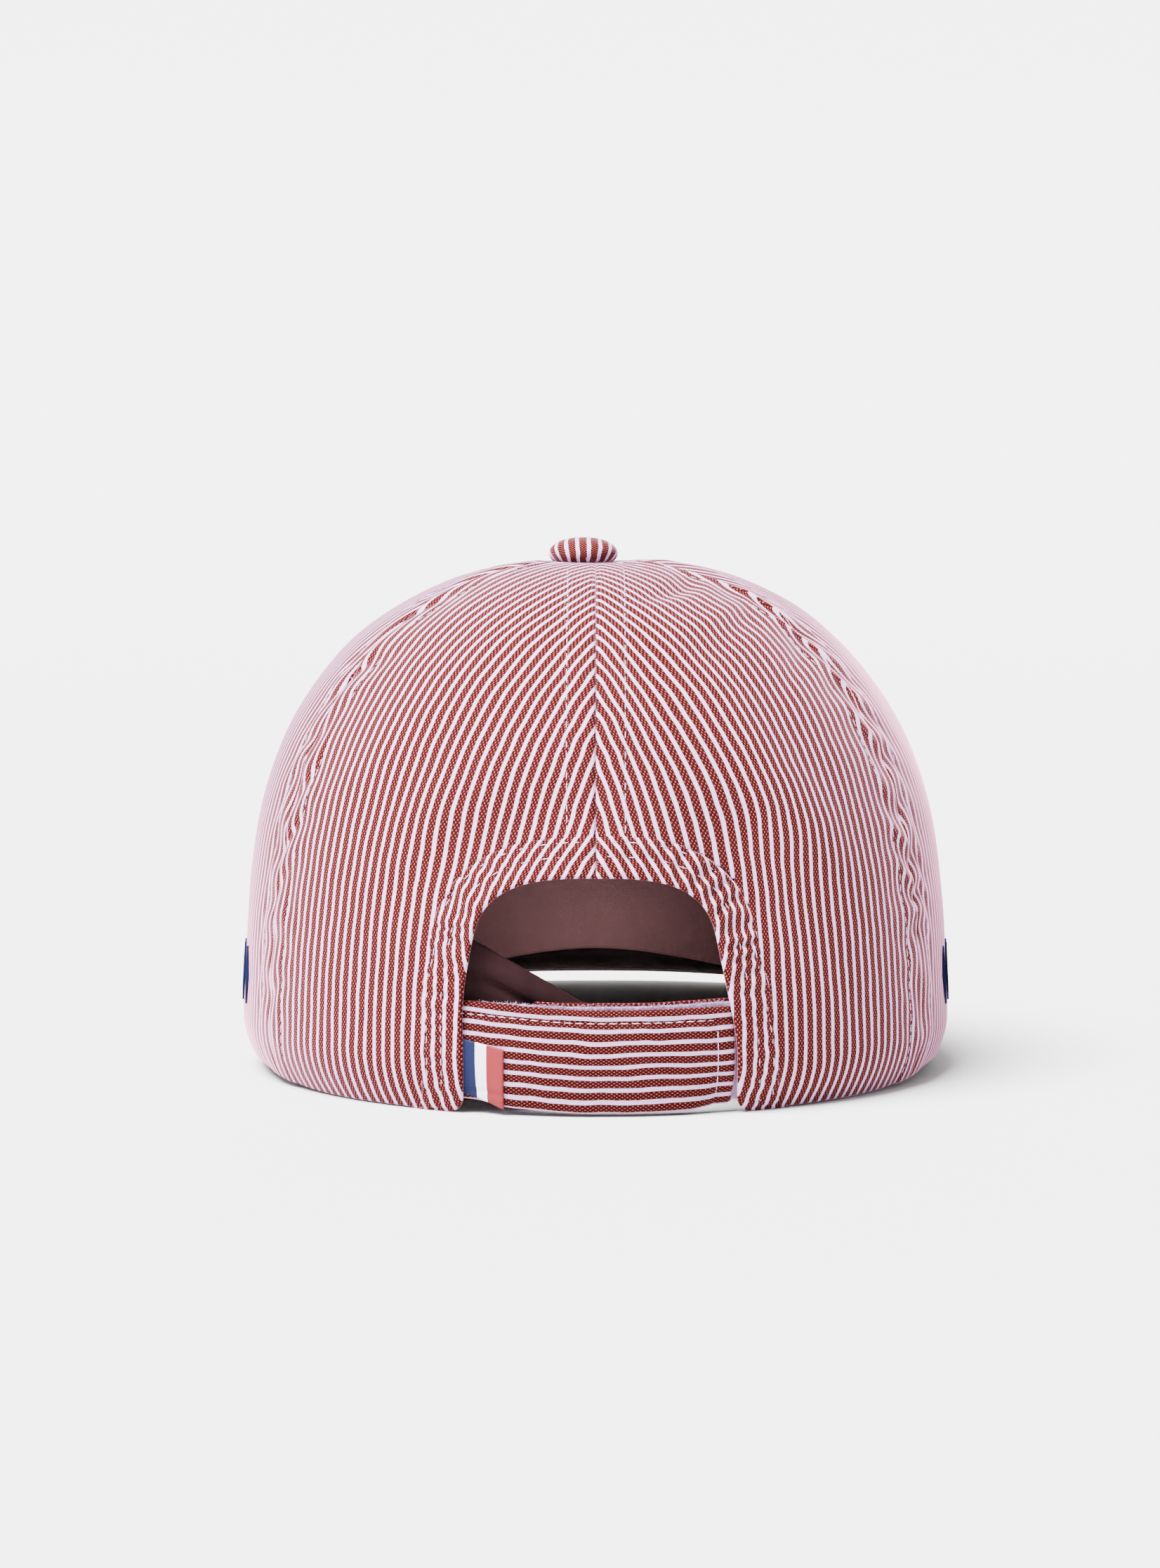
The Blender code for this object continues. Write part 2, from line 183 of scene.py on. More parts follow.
def crown_normal(angle, height):
    step = 1e-3
    low = max(height - step * CROWN_HEIGHT, -TUCK_HEIGHT)
    high = min(height + step * CROWN_HEIGHT, height_at_radius(angle, HOLE_RADIUS / 2))
    around = smooth_point(angle + step, height) - smooth_point(angle - step, height)
    up = smooth_point(angle, high) - smooth_point(angle, low)
    return around.cross(up).normalized()


def at_seam(angle, height):
    """The nearest seam, the way from it round the crown, and the turn and size of its puckers."""
    seam = SEAMS[round(angle / GORE) % len(SEAMS)]
    off = math.remainder(angle - math.radians(seam.angle), 2 * math.pi) * crown_radius(angle, height)
    loose = noise.noise(Vector((height / (24 * MM), off / (9 * MM), seam.angle)))
    turn = 2 * math.pi * (height + seam.slant * off) / (seam.spacing * MM) + 4.5 * loose
    size = 0.8 + 0.9 * noise.noise(Vector((height / (13 * MM), seam.angle, 5)))
    held = 0.35 + 0.65 * ease(height, 15 * MM, 45 * MM)
    return seam, off, turn, size * held * hump(off, PUCKER_REACH)


def seam_lift(angle, height):
    """The groove of the nearest seam, the ridge of its turned edges, its stitch lines and puckers."""
    seam, off, turn, size = at_seam(angle, height)
    away = abs(off)
    lift = SEAM_RIDGE * (1 - ease(away, STITCH_LINE - 0.6 * MM, STITCH_LINE + 1.2 * MM))
    lift -= seam.groove * MM * hump(away, SEAM_GROOVE_REACH)
    lift -= STITCH_DENT * hump(away - STITCH_LINE, 0.55 * MM)
    return lift + seam.pucker * MM * size * math.sin(turn)


def seam_drag(angle, height):
    """How far the puckers of the nearest seam drag the stripes aside."""
    seam, _, turn, size = at_seam(angle, height)
    return seam.drag * MM * size * math.cos(turn)


def in_dent(dent, angle, height):
    """How strongly a dent shapes this place, from 0 to 1."""
    up = (height / CROWN_HEIGHT - dent.height) / dent.spread
    round_crown = math.remainder(angle - math.radians(dent.angle + dent.lean * up), 2 * math.pi)
    return math.exp(-(up**2) - (round_crown / math.radians(dent.reach)) ** 2)


def cloth_drag(angle, height):
    """How far the cloth's stripes are dragged aside."""
    pulls = [dent.drag * MM * in_dent(dent, angle, height) for dent in DENTS if dent.drag]
    return seam_drag(angle, height) + sum(pulls)


def cloth_lift(angle, height):
    """How far the cloth stands out of the smooth crown."""
    rise = sum(dent.rise * MM * in_dent(dent, angle, height) for dent in DENTS if dent.rise)
    rise += seam_lift(angle, height)
    rise += WRINKLE * noise.noise(smooth_point(angle, height) / WRINKLE_SIZE)
    return rise * ease(crown_radius(angle, height) / plan_radius(angle), 0.05, 0.22)


def crown_point(angle, height, depth=0.0):
    """A point of the cloth's outer face, or one this deep inside it, held just above the floor."""
    lift = cloth_lift(angle, height) - depth
    point = smooth_point(angle, height) + crown_normal(angle, height) * lift
    point.z = max(point.z, FLOOR_GAP)
    return point


def turned_edge(along, radius):
    """How far cloth that is turned under has come away from its edge, and how deep it lies."""
    turn = max(-math.pi / 2, min(math.pi / 2, along / radius))
    beyond = max(0.0, abs(along) - radius * math.pi / 2)
    return radius * (1 - math.cos(turn)) + beyond, radius * (1 - math.sin(turn))


def spread(start, end, cell):
    count = max(1, round(abs(end - start) / cell))
    return [start + (end - start) * i / count for i in range(count + 1)]


def turned_rows(hem, radius, length, cell):
    """Places along the cloth: the part turned under, the turn itself and the outer face."""
    turn = radius * math.pi / 2
    rows = spread(-hem, -turn, 3 * cell)[:-1]
    rows += spread(-turn, turn, turn / 4)
    return rows + spread(turn, length, cell)[1:]


@cache
def cloth_line(middle):
    """Heights up a gore's middle line, and the length of cloth up to each."""
    foot = rim_height(middle)
    top = height_at_radius(middle, HOLE_RADIUS)
    heights = [top - (top - foot) * (1 - i / 400) ** 3 for i in range(401)]
    points = [smooth_point(middle, height) for height in heights]
    lengths = np.cumsum([0.0] + [(b - a).length for a, b in zip(points, points[1:])])
    return np.array(heights), lengths


def cloth_across(angle, height, grain):
    """How far round the crown a place lies from the line that the straight grain follows."""
    half_way = (angle + grain) / 2
    middle = crown_radius(half_way, height)
    mean = (crown_radius(angle, height) + 4 * middle + crown_radius(grain, height)) / 6
    return (angle - grain) * mean


def cloth_map(bm):
    return bm.loops.layers.uv.get("UVMap") or bm.loops.layers.uv.new("UVMap")


def lay_flat(flat, uv):
    """Notes where each vertex of a piece lies on its own flat cloth."""
    for vert, lies_at in flat.items():
        for loop in vert.link_loops:
            loop[uv].uv = lies_at


def lay_cloth(bm, columns, rows, place):
    """Adds a grid of cloth. place(column, row) gives its point and its own place on the flat cloth."""
    uv = cloth_map(bm)
    grid = bmesh.ops.create_grid(bm, x_segments=len(columns) - 1, y_segments=len(rows) - 1, size=1)
    flat = {}
    for vert in grid["verts"]:
        column = columns[round((vert.co.x + 1) / 2 * (len(columns) - 1))]
        row = rows[round((vert.co.y + 1) / 2 * (len(rows) - 1))]
        vert.co, flat[vert] = place(column, row)
    lay_flat(flat, uv)


def add_object(name, bm, material):
    mesh = bpy.data.meshes.new(name)
    bm.to_mesh(mesh)
    bm.free()
    mesh.materials.append(material)
    mesh.shade_smooth()
    added = bpy.data.objects.new(name, mesh)
    bpy.context.scene.collection.objects.link(added)
    return added


def add_piece(name, bm, material, stands_for=()):
    """Makes a finished piece of the cap that rides on its one body."""
    piece = add_object(name, bm, material)
    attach(piece, "root")
    if stands_for:
        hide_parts(*stands_for)
    return piece


def thicken(piece, wall):
    solidify = piece.modifiers.new("wall", "SOLIDIFY")
    solidify.thickness = wall
    solidify.offset = -1


def linear(colour):
    """An sRGB hex colour as linear RGBA."""
    values = [int(colour[i : i + 2], 16) / 255 for i in (1, 3, 5)]
    return (*(v / 12.92 if v <= 0.04045 else ((v + 0.055) / 1.055) ** 2.4 for v in values), 1)


def add_node(tree, kind, inputs=(), **settings):
    """Adds one node, with values or other nodes' outputs on its inputs."""
    node = tree.nodes.new(kind)
    for name, value in settings.items():
        setattr(node, name, value)
    for socket, value in dict(inputs).items():
        if isinstance(value, bpy.types.NodeSocket):
            tree.links.new(value, node.inputs[socket])
        else:
            node.inputs[socket].default_value = value
    return node


def new_material(name):
    material = bpy.data.materials.new(name)
    material.use_nodes = True
    tree = material.node_tree
    return material, tree, tree.nodes["Principled BSDF"]


def in_millimetres(tree, place):
    return add_node(tree, "ShaderNodeVectorMath", {0: place, 3: 1 / MM}, operation="SCALE").outputs[0]


def add_relief(tree, shader, raised, strength, rise):
    """Gives a material a fine relief that stands this high where raised is 1."""
    inputs = {"Strength": strength, "Distance": rise, "Height": raised}
    bump = add_node(tree, "ShaderNodeBump", inputs)
    tree.links.new(bump.outputs[0], shader.inputs["Normal"])


def set_finish(shader, roughness, gloss=0.0):
    shader.inputs["Roughness"].default_value = roughness
    shader.inputs["Specular IOR Level"].default_value = gloss


# Yarn-dyed cotton shirting: red warp stripes crossed by a white weft, which shows through them as
# staggered rows of pale dots, and plain white stripes between. The surface is dry, with a short
# bloom of fibre that turns it pale lilac where it is seen edge on. These sizes are in millimetres.
STRIPE_PITCH = 2.77
STRIPE_WIDTH = 1.82
STRIPE_SWAY = 0.9
STRIPE_BLUR = 0.07
DOT_ROW = 0.40
DOT_PITCH = 1.19
DOT_HALF_WIDTH = 0.15
DOT_HALF_LENGTH = 0.26


def striped_cotton(name, depth):
    """The shirting. Depth is the share of its colour and bloom that it keeps, as painted shade: 1 for the
    crown.
    """
    material, tree, shader = new_material(name)

    def math_node(operation, *values):
        return add_node(tree, "ShaderNodeMath", dict(enumerate(values)), operation=operation).outputs[0]

    def ramp(value, low, high, start=0.0, end=1.0):
        inputs = {"Value": value, "From Min": low, "From Max": high, "To Min": start, "To Max": end}
        node = add_node(tree, "ShaderNodeMapRange", inputs, interpolation_type="SMOOTHSTEP")
        return node.outputs["Result"]

    def blend(share, below, above):
        node = add_node(tree, "ShaderNodeMix", {0: share, 6: below, 7: above}, data_type="RGBA")
        return node.outputs[2]

    flat = add_node(tree, "ShaderNodeUVMap", uv_map="UVMap").outputs[0]
    millimetres = in_millimetres(tree, flat)
    drift = add_node(tree, "ShaderNodeTexNoise", {"Vector": millimetres, "Scale": 0.11, "Detail": 2.0})
    sway = math_node("MULTIPLY", math_node("SUBTRACT", drift.outputs["Fac"], 0.5), STRIPE_SWAY)
    place = add_node(tree, "ShaderNodeSeparateXYZ", {0: millimetres})
    across = math_node("ADD", place.outputs[0], sway)
    along = place.outputs[1]
    stripe = math_node("FRACT", math_node("DIVIDE", across, STRIPE_PITCH))
    off = math_node("MULTIPLY", math_node("SUBTRACT", stripe, 0.5), STRIPE_PITCH)
    half = STRIPE_WIDTH / 2
    in_red = ramp(math_node("ABSOLUTE", off), half - STRIPE_BLUR, half + STRIPE_BLUR, 1.0, 0.0)
    rows = math_node("DIVIDE", off, DOT_ROW)
    row = math_node("FLOOR", rows)
    stagger = math_node("MULTIPLY", math_node("FLOORED_MODULO", row, 2.0), 0.5)
    dot = math_node("FRACT", math_node("ADD", math_node("DIVIDE", along, DOT_PITCH), stagger))
    from_row = math_node("SUBTRACT", math_node("SUBTRACT", rows, row), 0.5)
    dot_across = math_node("MULTIPLY", from_row, DOT_ROW / DOT_HALF_WIDTH)
    dot_along = math_node("MULTIPLY", math_node("SUBTRACT", dot, 0.5), DOT_PITCH / DOT_HALF_LENGTH)
    squares = math_node("ADD", math_node("POWER", dot_across, 2.0), math_node("POWER", dot_along, 2.0))
    from_dot = math_node("SQRT", squares)
    on_dot = ramp(from_dot, 0.62, 1.10, 1.0, 0.0)
    fibre = add_node(tree, "ShaderNodeTexNoise", {"Vector": millimetres, "Scale": 2.6, "Detail": 3.0})
    red = blend(ramp(from_dot, 0.9, 2.0), linear("#370d0f"), linear("#2b0a0c"))
    red = blend(ramp(fibre.outputs["Fac"], 0.35, 0.75, 0.0, 0.35), red, linear("#4a1417"))
    dyed = blend(on_dot, red, linear("#83493f"))
    weft = add_node(tree, "ShaderNodeTexWave", {"Vector": millimetres, "Scale": 0.9, "Distortion": 1.5},
                    bands_direction="Y")
    white = blend(ramp(weft.outputs["Fac"], 0.1, 0.9, 0.0, 0.5), linear("#cbaad0"), linear("#b192bf"))
    colour = blend(in_red, white, dyed)
    # Painted shade: the colour is scaled down by depth, and the sheen weight below goes down with it.
    painted_shade_colour = add_node(tree, "ShaderNodeVectorMath", {0: colour, 3: depth}, operation="SCALE")
    tree.links.new(painted_shade_colour.outputs[0], shader.inputs["Base Color"])
    set_finish(shader, 0.86)
    shader.inputs["Sheen Weight"].default_value = 0.95 * depth
    shader.inputs["Sheen Roughness"].default_value = 0.27
    shader.inputs["Sheen Tint"].default_value = linear("#f09fba")
    raised_dot = math_node("MULTIPLY", on_dot, 0.6)
    raised = math_node("ADD", raised_dot, math_node("MULTIPLY", fibre.outputs["Fac"], 0.8))
    add_relief(tree, shader, raised, 0.5, 0.12 * MM)
    return material


SHIRTING = striped_cotton("yarn_dyed_cotton_shirting", 1.0)


def lay_panel(bm, middle, grain, shift=0.0):
    """One gore, from the hem turned under at the rim to the hole under the button."""
    heights, lengths = cloth_line(middle)
    foot, top = float(heights[0]), float(heights[-1])

    def place(angle, along):
        away, depth = turned_edge(along, RIM_TURN)
        share = (float(np.interp(away, lengths, heights)) - foot) / (top - foot)
        low = rim_height(angle)
        height = low + (height_at_radius(angle, HOLE_RADIUS) - low) * share
        across = cloth_across(angle, height, grain) + cloth_drag(angle, height) + shift
        return crown_point(angle, height, depth), (across, along)

    columns = spread(middle - GORE / 2, middle + GORE / 2, CELL / plan_radius(middle))
    lay_cloth(bm, columns, turned_rows(RIM_HEM, RIM_TURN, lengths[-1], CELL), place)


for where, turn, grain in (("side", 1.5, 90), ("front", 2.5, 150)):
    for side, sign in (("left", -1), ("right", 1)):
        bm = bmesh.new()
        lay_panel(bm, sign * turn * GORE, sign * math.radians(grain))
        panel = add_piece(f"cloth_{where}_{side}", bm, SHIRTING, [f"panel_{where}_{side}"])
        thicken(panel, CLOTH)

# The back panels and their opening. The same cotton is turned under along the arched opening, held
# by two rows of stitches, and the turn drags the stripes aside and puckers the edge.
HALF_OPENING = 30 * MM
OPENING_HEIGHT = 52.8 * MM
OPENING_SPRING = 25 * MM
OPENING_ROUNDNESS = 3.1
OPENING_CORNER = 3 * MM
EDGE_PULL = {-1: 1.3 * MM, 1: 1.65 * MM}
EDGE_FLARE = {-1: -0.3 * MM, 1: 1.7 * MM}
HEM_WIDTH = 9.8 * MM
HEM_TURN = 0.8 * MM
HEM_BACK = 8 * MM
HEM_RISE = 0.32 * MM
HEM_OVERLAP = 1.6 * MM
HEM_DRAG = 4.2 * MM
HEM_CREEP = 0.2
HEM_PUCKER = 0.20 * MM
HEM_PUCKER_PITCH = 3.6 * MM
SHOULDER_PUCKER = {-1: 0.28 * MM, 1: 0.49 * MM}
SHOULDER_HEIGHT = 36.5 * MM
SHOULDER_ALONG = 47 * MM
HEM_ROWS = (4.7 * MM, 7.9 * MM)
BACK_GRAIN = math.radians(48)
MISMATCH = {-1: 0, 1: 0.9 * MM}


@cache
def opening_edge(side):
    """One half of the opening's edge, from the rim's corner to the middle of the arch.

    Gives the length along it, and there the edge's x and z and the way from it to the hem's border,
    with x as if on the right. The worn edge is drawn in at the shoulder and flares at the strap.
    """
    edge = []
    for i in range(13):
        turn = math.pi / 2 * i / 12
        x = HALF_OPENING + OPENING_CORNER * (1 - math.sin(turn))
        edge.append((x, OPENING_CORNER * (1 - math.cos(turn))))
    edge += [(HALF_OPENING, z) for z in spread(OPENING_CORNER, OPENING_SPRING, MM)[1:-1]]
    power = 2 / OPENING_ROUNDNESS
    for i in range(81):
        turn = math.pi / 2 * i / 80
        rise = (OPENING_HEIGHT - OPENING_SPRING) * math.sin(turn) ** power
        edge.append((HALF_OPENING * max(0.0, math.cos(turn)) ** power, OPENING_SPRING + rise))
    for i, (x, z) in enumerate(edge):
        drawn = EDGE_FLARE[side] * (1 - ease(z, 12 * MM, 30 * MM))
        drawn -= EDGE_PULL[side] * hump(z - SHOULDER_HEIGHT, 9 * MM)
        edge[i] = Vector((x + drawn * ease(x, 0, 20 * MM), z))
    rows = []
    length = 0.0
    for i, here in enumerate(edge):
        before, after = edge[max(0, i - 1)], edge[min(len(edge) - 1, i + 1)]
        length += (here - before).length
        if here.y <= OPENING_SPRING:
            out = Vector((HEM_WIDTH, 0))
        else:
            forward = (after - before).normalized()
            out = Vector((forward.y, -forward.x)) * HEM_WIDTH
        rows.append((length, here.x, here.y, out.x, out.y))
    rows[-1] = (length, 0.0, OPENING_HEIGHT, 0.0, HEM_WIDTH)
    return np.array(rows).T


def angle_at(x, height):
    """The plan angle of the back's point at this x and height."""
    angle = math.asin(x / CROWN_BACK)
    for _ in range(5):
        angle = math.asin(max(-0.99, min(0.99, x / crown_radius(angle, height))))
    return angle


def hem_place(side, along, away, depth=0.0):
    """The angle, height and depth of a place on the hem, this far along the edge and away from it."""
    lengths, x, z, out_x, out_z = opening_edge(side)
    share = away / HEM_WIDTH
    at_x = np.interp(along, lengths, x) + np.interp(along, lengths, out_x) * share
    height = float(np.interp(along, lengths, z) + np.interp(along, lengths, out_z) * share)
    ripple = noise.noise(Vector((along / (5 * MM), side * 3, away / (9 * MM))))
    size = HEM_PUCKER + SHOULDER_PUCKER[side] * hump(along - SHOULDER_ALONG, 14 * MM)
    turn = 2 * math.pi * along / HEM_PUCKER_PITCH + 4 * ripple
    pucker = size * math.sin(turn) * ease(away, 0, 2.5 * MM)
    lift = (HEM_RISE + pucker) * (1 - ease(away, HEM_WIDTH - HEM_OVERLAP, HEM_WIDTH - 0.2 * MM))
    lift -= 0.22 * MM * ease(away, HEM_WIDTH - 0.9 * MM, HEM_WIDTH)
    for row in HEM_ROWS:
        lift -= 0.25 * MM * hump(away - row, 0.5 * MM)
    return angle_at(side * float(at_x), height), height, depth - lift


def lay_hem(bm, side):
    """One half of the turned hem, laid over the panel from its border, round the edge and back."""
    total = float(opening_edge(side)[0][-1])

    def place(along, row):
        away, depth = turned_edge(row, HEM_TURN)
        angle, height, depth = hem_place(side, along, away, depth)
        drag = HEM_DRAG * (1 - away / HEM_WIDTH) * ease(height, 26 * MM, 44 * MM)
        across = cloth_across(angle, height, side * BACK_GRAIN) + cloth_drag(angle, height)
        across += MISMATCH[side] - side * drag
        return crown_point(angle, height, depth), (across, height + row * HEM_CREEP)

    columns = spread(0, total, 0.8 * MM)
    rows = turned_rows(HEM_BACK, HEM_TURN, HEM_WIDTH, 0.6 * MM)
    lay_cloth(bm, columns if side < 0 else columns[::-1], rows, place)


def under_hem(point, side):
    """Whether this point of a back panel lies in the opening or well under its hem."""
    if point.z > OPENING_HEIGHT + HEM_WIDTH or abs(point.x) > HALF_OPENING + HEM_WIDTH + 2 * MM:
        return False
    _, x, z, out_x, out_z = opening_edge(side)
    inner = HEM_WIDTH - HEM_OVERLAP
    if point.z < OPENING_SPRING:
        return abs(point.x) < float(np.interp(point.z, z, x)) + inner
    border_x = x + out_x * inner / HEM_WIDTH
    border_z = z + out_z * inner / HEM_WIDTH
    return point.z < float(np.interp(-abs(point.x), -border_x, border_z))


for side, sign in (("left", -1), ("right", 1)):
    bm = bmesh.new()
    lay_panel(bm, sign * GORE / 2, sign * BACK_GRAIN, MISMATCH[sign])
    hidden = [face for face in bm.faces if under_hem(face.calc_center_median(), sign)]
    bmesh.ops.delete(bm, geom=hidden, context="FACES")
    lay_hem(bm, sign)
    panel = add_piece(f"cloth_back_{side}", bm, SHIRTING, [f"panel_back_{side}"])
    thicken(panel, CLOTH)

# Topstitching of the crown: pale lilac polyester thread, lockstitched in two rows beside every seam
# and in two rows round the back opening.
THREAD = 0.26 * MM
STITCH_PITCH = 2.5 * MM
STITCH_LENGTH = 2.05 * MM


def polyester_thread(name, colour):
    material, tree, shader = new_material(name)
    spot = add_node(tree, "ShaderNodeTexCoord").outputs["Object"]
    twist = add_node(tree, "ShaderNodeTexNoise", {"Vector": spot, "Scale": 2500.0, "Detail": 2.0})
    add_relief(tree, shader, twist.outputs["Fac"], 0.4, 0.05 * MM)
    shader.inputs["Base Color"].default_value = linear(colour)
    set_finish(shader, 0.7)
    return material


PALE_THREAD = polyester_thread("polyester_thread_lilac", "#bfa8c6")


def one_shape(create, **sizes):
    """A mesh of one small shape, kept to be stamped many times."""
    bm = bmesh.new()
    create(bm, **sizes)
    mesh = bpy.data.meshes.new("shape")
    bm.to_mesh(mesh)
    bm.free()
    return mesh


def stamp(bm, shape, centre, *axes):
    """Adds the shape at this centre, stretched along these three axes."""
    copy = shape.copy()
    copy.transform(Matrix.Translation(centre) @ Matrix(axes).transposed().to_4x4())
    bm.from_mesh(copy)
    bpy.data.meshes.remove(copy)


STITCH = one_shape(bmesh.ops.create_uvsphere, u_segments=6, v_segments=4, radius=1)


def sew(bm, path):
    """Adds one row of stitches along points that each come with their outward normal."""
    points = [point for point, _ in path]
    lengths = np.cumsum([0.0] + [(b - a).length for a, b in zip(points, points[1:])])
    places = np.array([tuple(point) for point in points])
    normals = np.array([tuple(normal) for _, normal in path])

    def at(length, values):
        return Vector([float(np.interp(length, lengths, values[:, i])) for i in range(3)])

    for i in range(int((lengths[-1] - STITCH_LENGTH) / STITCH_PITCH) + 1):
        start = i * STITCH_PITCH
        a, b = at(start, places), at(start + STITCH_LENGTH, places)
        forward = (b - a).normalized()
        up = at(start + STITCH_LENGTH / 2, normals).normalized()
        aside = up.cross(forward).normalized()
        middle = (a + b) / 2 + up * THREAD * 0.15
        stamp(bm, STITCH, middle, forward * STITCH_LENGTH / 2, aside * THREAD / 2, up * THREAD * 0.4)


def crown_row(angle, away, low, high):
    """Points and normals up the crown beside the seam at this angle."""
    path = []
    for height in spread(low, high, 1.2 * MM):
        here = angle + away / max(crown_radius(angle, height), 4 * MM)
        path.append((crown_point(here, height), crown_normal(here, height)))
    return path


bm = bmesh.new()
for seam in SEAMS:
    angle = math.radians(seam.angle)
    low = rim_height(angle) + 2 * MM
    if seam.angle == 0:
        low = OPENING_HEIGHT + HEM_WIDTH
    for away in (-STITCH_LINE, STITCH_LINE):
        sew(bm, crown_row(angle, away, low, CROWN_HEIGHT - 1.4 * MM))
for side in (-1, 1):
    for row in HEM_ROWS:
        path = []
        for along in spread(3 * MM, float(opening_edge(side)[0][-1]), 1.2 * MM):
            angle, height, depth = hem_place(side, along, row)
            path.append((crown_point(angle, height, depth), crown_normal(angle, height)))
        sew(bm, path)
add_piece("stitches_crown", bm, PALE_THREAD)

# The peak: two cloth covers that hold a curved board between them, striped above and dark maroon
# twill below, stitched through in rows that follow its edge, and sewn to the front of the rim.
PEAK_ROOT_ANGLE = math.radians(62)
PEAK_CORNER = 1.5 * MM
PEAK_ROUNDNESS = 2.5
PEAK_SHOULDER = 8 * MM
PEAK_BOARD = 3.2 * MM
PEAK_EDGE_LIFT = 2.6 * MM
PEAK_REST_START = 0.55
PEAK_REST_END = 0.75
PEAK_GAP = 0.3 * MM
PEAK_ROWS = tuple(distance * MM for distance in (4, 11, 18, 25, 32, 39, 46))
PEAK_STEPS = 60
PEAK_EDGE_STEPS = 6


def peak_line(u):
    """The two ends of the peak's underside at this share of the way round: at the rim and its edge."""
    turn = 2 * u - 1
    angle = math.pi - turn * PEAK_ROOT_ANGLE
    root_z = rim_height(angle)
    top_z = root_z + PEAK_BOARD
    root = smooth_point(angle, top_z) + crown_normal(angle, top_z) * PEAK_GAP
    corner_angle = math.pi - PEAK_ROOT_ANGLE
    corner = smooth_point(corner_angle, rim_height(corner_angle))
    swing = abs(turn) * math.pi / 2
    power = 2 / PEAK_ROUNDNESS
    half_width = (corner.x + PEAK_CORNER) * math.sin(swing) ** power
    edge_x = math.copysign(half_width + PEAK_SHOULDER * math.sin(2 * swing) ** 2, turn)
    edge_y = corner.y + (PEAK_EDGE_Y - corner.y) * max(0.0, math.cos(swing)) ** power
    middle_lift = PEAK_EDGE_LIFT * max(0.0, 1 - (turn / PEAK_REST_START) ** 2)
    edge_z = middle_lift + corner.z * ease(abs(turn), PEAK_REST_END, 1)
    return Vector((root.x, root.y, root_z)), Vector((edge_x, edge_y, edge_z))


def peak_point(u, inward, above):
    """A point of the peak this far in from its edge, above (1), below (0) or round the edge."""
    root, edge = peak_line(u)
    reach = (edge - root).length
    thick = PEAK_BOARD / 2
    round_edge = 1 - math.cos(math.asin(min(1.0, abs(2 * above - 1))))
    share = 1 - min(1.0, (inward + thick * round_edge) / max(reach, MM))
    quilt = sum(hump(inward - row, 0.9 * MM) for row in PEAK_ROWS if row < reach - 3 * MM)
    puff = 0.22 * MM * quilt * (2 * above - 1)
    return root + (edge - root) * share + Vector((0, 0, PEAK_BOARD * above - puff))


def twill_cloth(name, colour, shade):
    """Plain cotton twill: fine diagonal ribs in one colour, slightly faded on the raised yarns."""
    material, tree, shader = new_material(name)
    spot = in_millimetres(tree, add_node(tree, "ShaderNodeTexCoord").outputs["Object"])
    ribs = {"Vector": spot, "Scale": 2.2, "Distortion": 0.8, "Detail": 1.0}
    rib = add_node(tree, "ShaderNodeTexWave", ribs, bands_direction="DIAGONAL").outputs["Fac"]
    patch = add_node(tree, "ShaderNodeTexNoise", {"Vector": spot, "Scale": 0.08, "Detail": 3.0})
    mix = add_node(tree, "ShaderNodeMath", {0: rib, 1: patch.outputs["Fac"]}, operation="MULTIPLY")
    tints = {0: mix.outputs[0], 6: linear(shade), 7: linear(colour)}
    tint = add_node(tree, "ShaderNodeMix", tints, data_type="RGBA")
    tree.links.new(tint.outputs[2], shader.inputs["Base Color"])
    add_relief(tree, shader, rib, 0.5, 0.1 * MM)
    set_finish(shader, 0.88, 0.05)
    return material


MAROON_TWILL = twill_cloth("cotton_twill_maroon", "#52282a", "#3a1b1d")
MAUVE_TWILL = twill_cloth("cotton_twill_mauve", "#d69ea0", "#b98688")
around = spread(0, 1, 1 / 150)
for name, above, cover in (("peak_top_cover", 1, SHIRTING), ("peak_under_cover", 0, MAROON_TWILL)):
    bm = bmesh.new()
    steps = [step / PEAK_STEPS for step in range(PEAK_STEPS + 1)]

    def place(u, step):
        root, edge = peak_line(u)
        reach = (edge - root).length
        at_edge = PEAK_EDGE_STEPS / PEAK_STEPS
        if step < at_edge:
            turn = step / at_edge
            point = peak_point(u, 0, 0.5 + (above - 0.5) * math.sin(turn * math.pi / 2))
            wrapped = (edge - root).normalized() * PEAK_BOARD / 2 * (1 - turn)
        else:
            point = peak_point(u, (step - at_edge) / (1 - at_edge) * reach, above)
            wrapped = Vector()
        return point, (point.x + wrapped.x, point.y + wrapped.y)

    lay_cloth(bm, around[::-1] if above else around, steps, place)
    replaced = ["peak"] if above else ()
    add_piece(name, bm, cover, replaced)

bm = bmesh.new()
for row in PEAK_ROWS:
    path = []
    for u in spread(0.01, 0.99, 1 / 160):
        root, edge = peak_line(u)
        if (edge - root).length > row + 3 * MM:
            path.append((peak_point(u, row, 1), Vector((0, 0, 1))))
    if len(path) > 2:
        sew(bm, path)
add_piece("stitches_peak", bm, PALE_THREAD)

# The sweatband: soft twill, mauve towards the head and maroon outside, with its top edge bound in
# brown. It is sewn inside the rim from the right of the opening round the front, and its left end
# falls away behind the opening, all in the dark brown cloth as painted shade.
BAND_HEIGHT = 36 * MM
BAND_WALL = 0.9 * MM
BAND_FOOT = 0.1 * MM
BAND_TAIL_END = 9 * MM
BAND_TAIL_START = -32 * MM
BAND_TAIL_RISE = 3.5 * MM
BAND_TAIL_SLOPE = 0.50
BAND_TAIL_FALL = 8 * MM
STRAP_TUCK = 8 * MM
LAYER = 1.8 * MM
BAND_DEPTH = 1.9 * MM
BOUND_EDGE = 7.0 * MM


def back_angle(x):
    share = x / (CROWN_WIDTH / 2)
    return math.atan2(x, CROWN_BACK * math.sqrt(1 - share * share))


